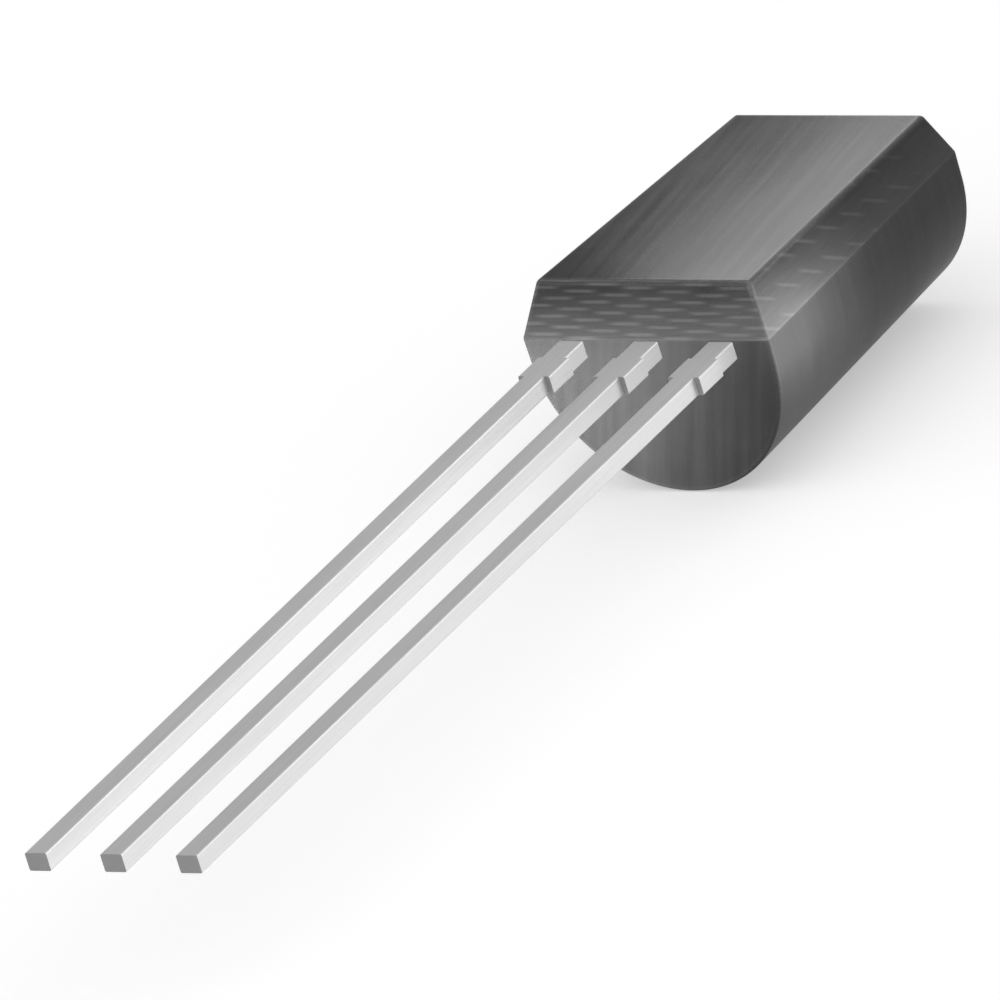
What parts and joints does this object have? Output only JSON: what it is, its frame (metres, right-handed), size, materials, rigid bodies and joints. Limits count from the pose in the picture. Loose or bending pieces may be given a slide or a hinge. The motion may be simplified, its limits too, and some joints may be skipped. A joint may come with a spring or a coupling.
{
  "type": "transistor",
  "caption": "Through-hole transistor: dark moulded body with a flat face and a round back, and a row of straight rectangular leads.",
  "frame": {"origin": "centre of the middle lead's section, where it leaves the body's lead end", "axes": "+X across the leads, from the emitter lead to the collector lead; +Y along the body, away from the leads, which run straight to -Y; +Z out of the flat face's side, with the round back at -Z"},
  "size_m": [0.0042, 0.02, 0.0032],
  "materials": {
    "moulding_compound": "matte",
    "tinned_lead": "satin",
    "silicon": "polished",
    "die_bond": "satin",
    "gold": "polished"
  },
  "bodies": {
    "root": {"moulded_body": "moulding_compound", "emitter_lead": "tinned_lead", "base_lead": "tinned_lead", "collector_lead": "tinned_lead", "silicon_die": "silicon", "die_attach": "die_bond", "emitter_bond_wire": "gold", "base_bond_wire": "gold"}
  },
  "joints": []
}
